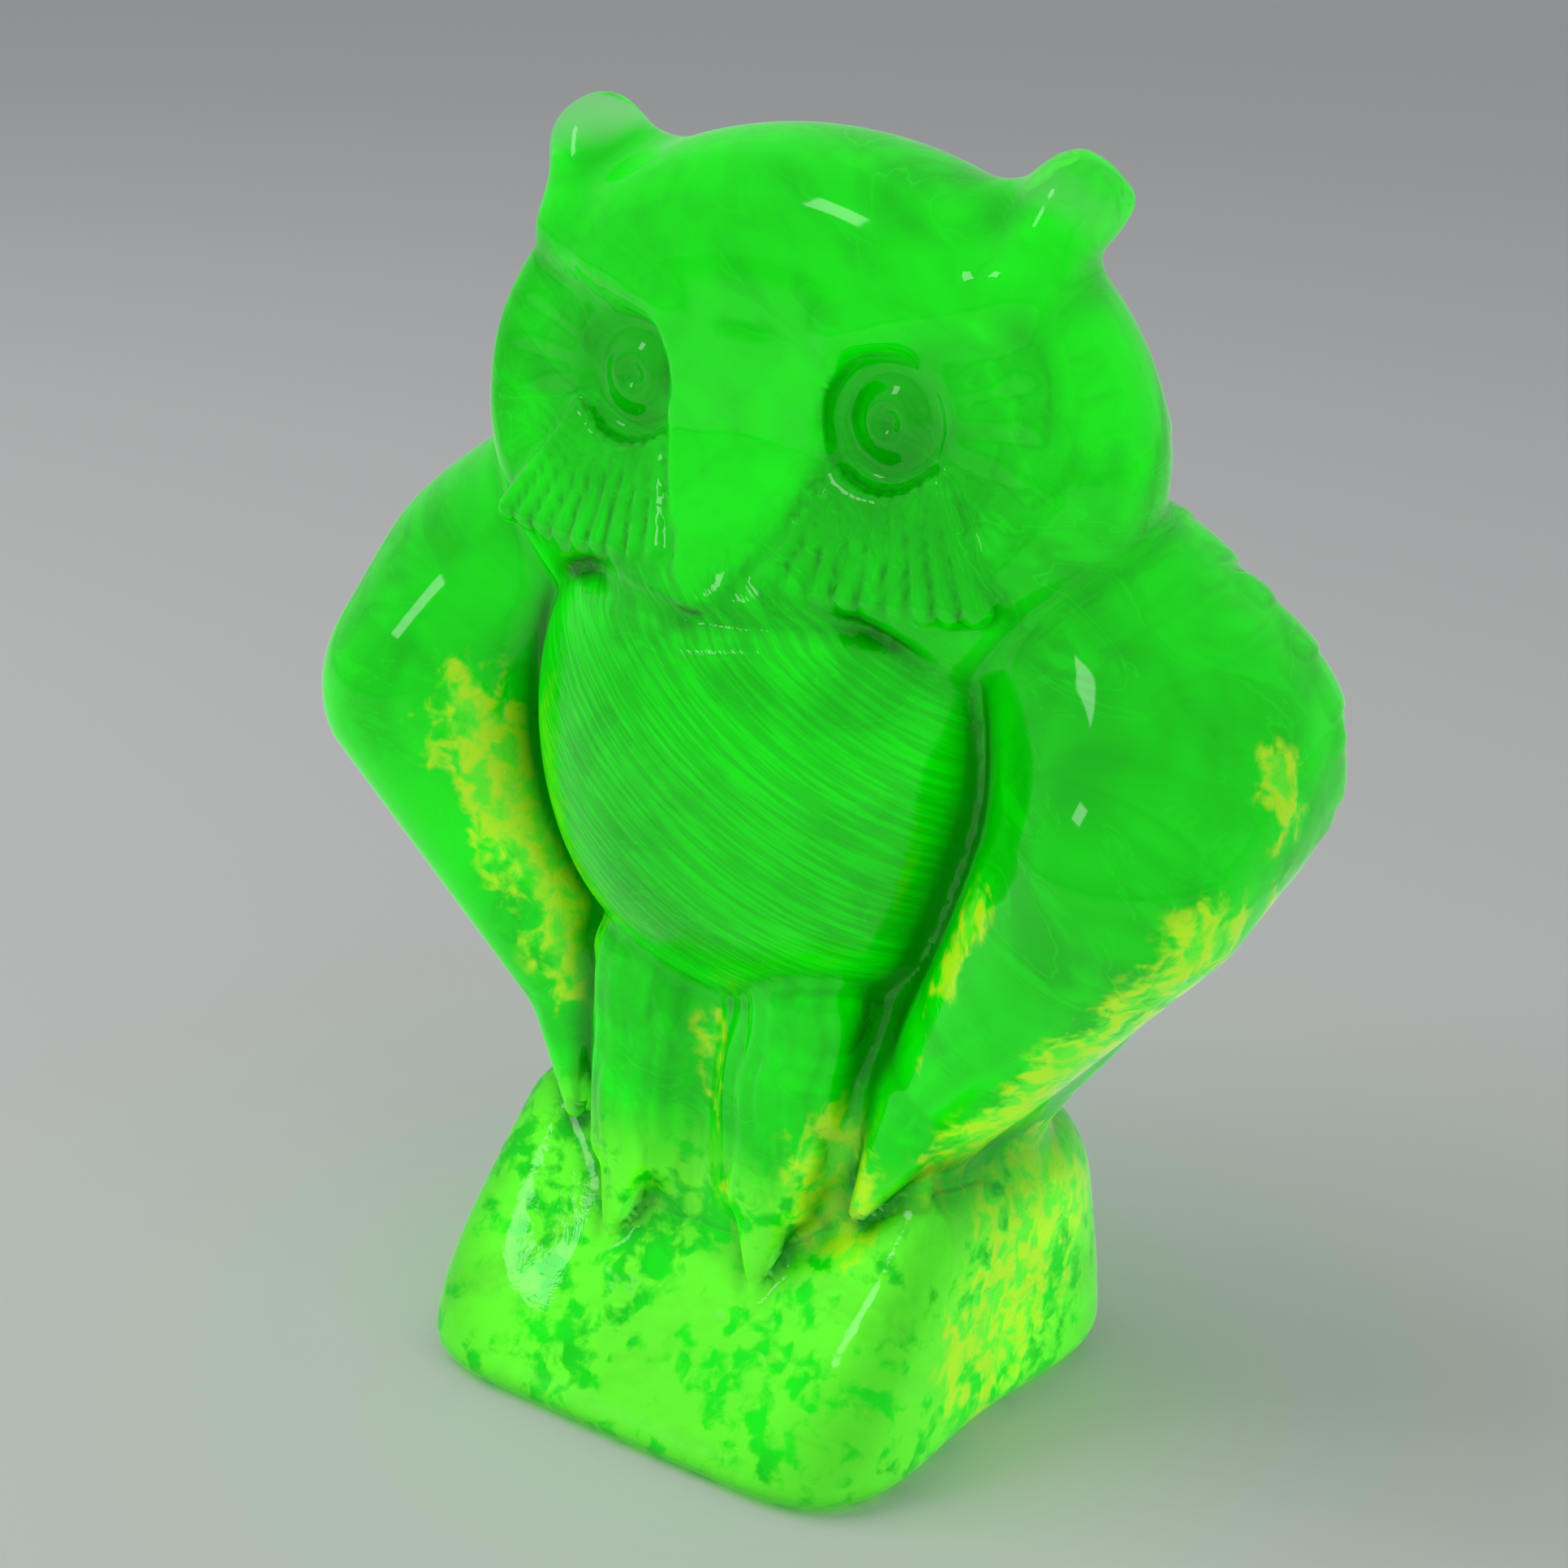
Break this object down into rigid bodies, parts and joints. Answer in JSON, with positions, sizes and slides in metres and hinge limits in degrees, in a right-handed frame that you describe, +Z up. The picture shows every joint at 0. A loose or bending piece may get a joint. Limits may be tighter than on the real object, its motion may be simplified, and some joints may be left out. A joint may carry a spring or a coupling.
{
  "type": "pressed glass owl figurine",
  "caption": "Solid pressed uranium-glass owl paperweight with horn tufts, dished eyes, broad folded wings and a rounded square block base; glows green under ultraviolet light.",
  "frame": {"origin": "centre of the flat underside of the block base, on the surface it stands on", "axes": "+Z up through the head, -Y the way the owl looks, +X towards the owl's own left wing"},
  "size_m": [0.0736, 0.0412, 0.0882],
  "materials": {
    "uranium_glass": "fire-polished pressed glass, clear yellow-green, fluorescing green under ultraviolet light"
  },
  "bodies": {
    "root": {"glass_owl": "uranium_glass"}
  },
  "joints": []
}
